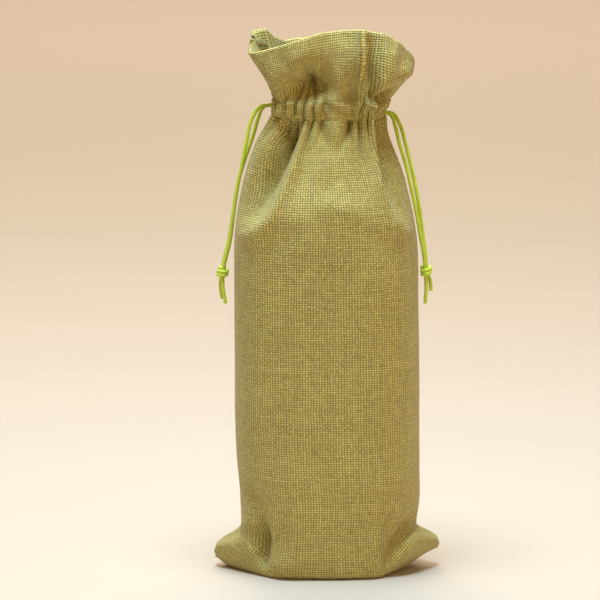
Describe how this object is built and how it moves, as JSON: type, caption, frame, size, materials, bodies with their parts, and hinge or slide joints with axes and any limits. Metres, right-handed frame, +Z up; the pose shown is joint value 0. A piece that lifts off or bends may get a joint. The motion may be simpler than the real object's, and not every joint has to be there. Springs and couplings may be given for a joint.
{
  "type": "wine gift bag",
  "caption": "Tall drawstring pouch of coarse green cloth for one wine bottle, gathered at the neck under a flared heading by two knotted cords.",
  "frame": {"origin": "on the ground under the middle of the bag", "axes": "+X to the right seen from the front, -Y the front, +Z up along the bag"},
  "size_m": [0.134, 0.081, 0.316],
  "materials": {
    "cloth": "coarse plain weave, matt",
    "seam_edges": "overlocked cut edges of the same cloth",
    "thread": "spun sewing thread",
    "cord": "smooth braided cord, slight sheen"
  },
  "bodies": {
    "bag": {"front_panel": "cloth", "back_panel": "cloth", "left_side_seam": "seam_edges", "right_side_seam": "seam_edges", "left_heading_seam": "seam_edges", "right_heading_seam": "seam_edges", "bottom_seam": "seam_edges", "lower_casing_stitches": "thread", "upper_casing_stitches": "thread", "left_cord_in_casing": "cord", "right_cord_in_casing": "cord"},
    "left_pull": {"left_front_strand": "cord", "left_back_strand": "cord", "left_knot": "cord"},
    "right_pull": {"right_front_strand": "cord", "right_back_strand": "cord", "right_knot": "cord"}
  },
  "joints": [
    {"name": "left_pull_swing", "type": "hinge", "parent": "bag", "child": "left_pull", "pos_m": [-0.034, 0, 0.2738], "axis": [0, 1, 0], "range_deg": [0, 90]},
    {"name": "right_pull_swing", "type": "hinge", "parent": "bag", "child": "right_pull", "pos_m": [0.034, 0, 0.2694], "axis": [0, -1, 0], "range_deg": [0, 90]}
  ]
}
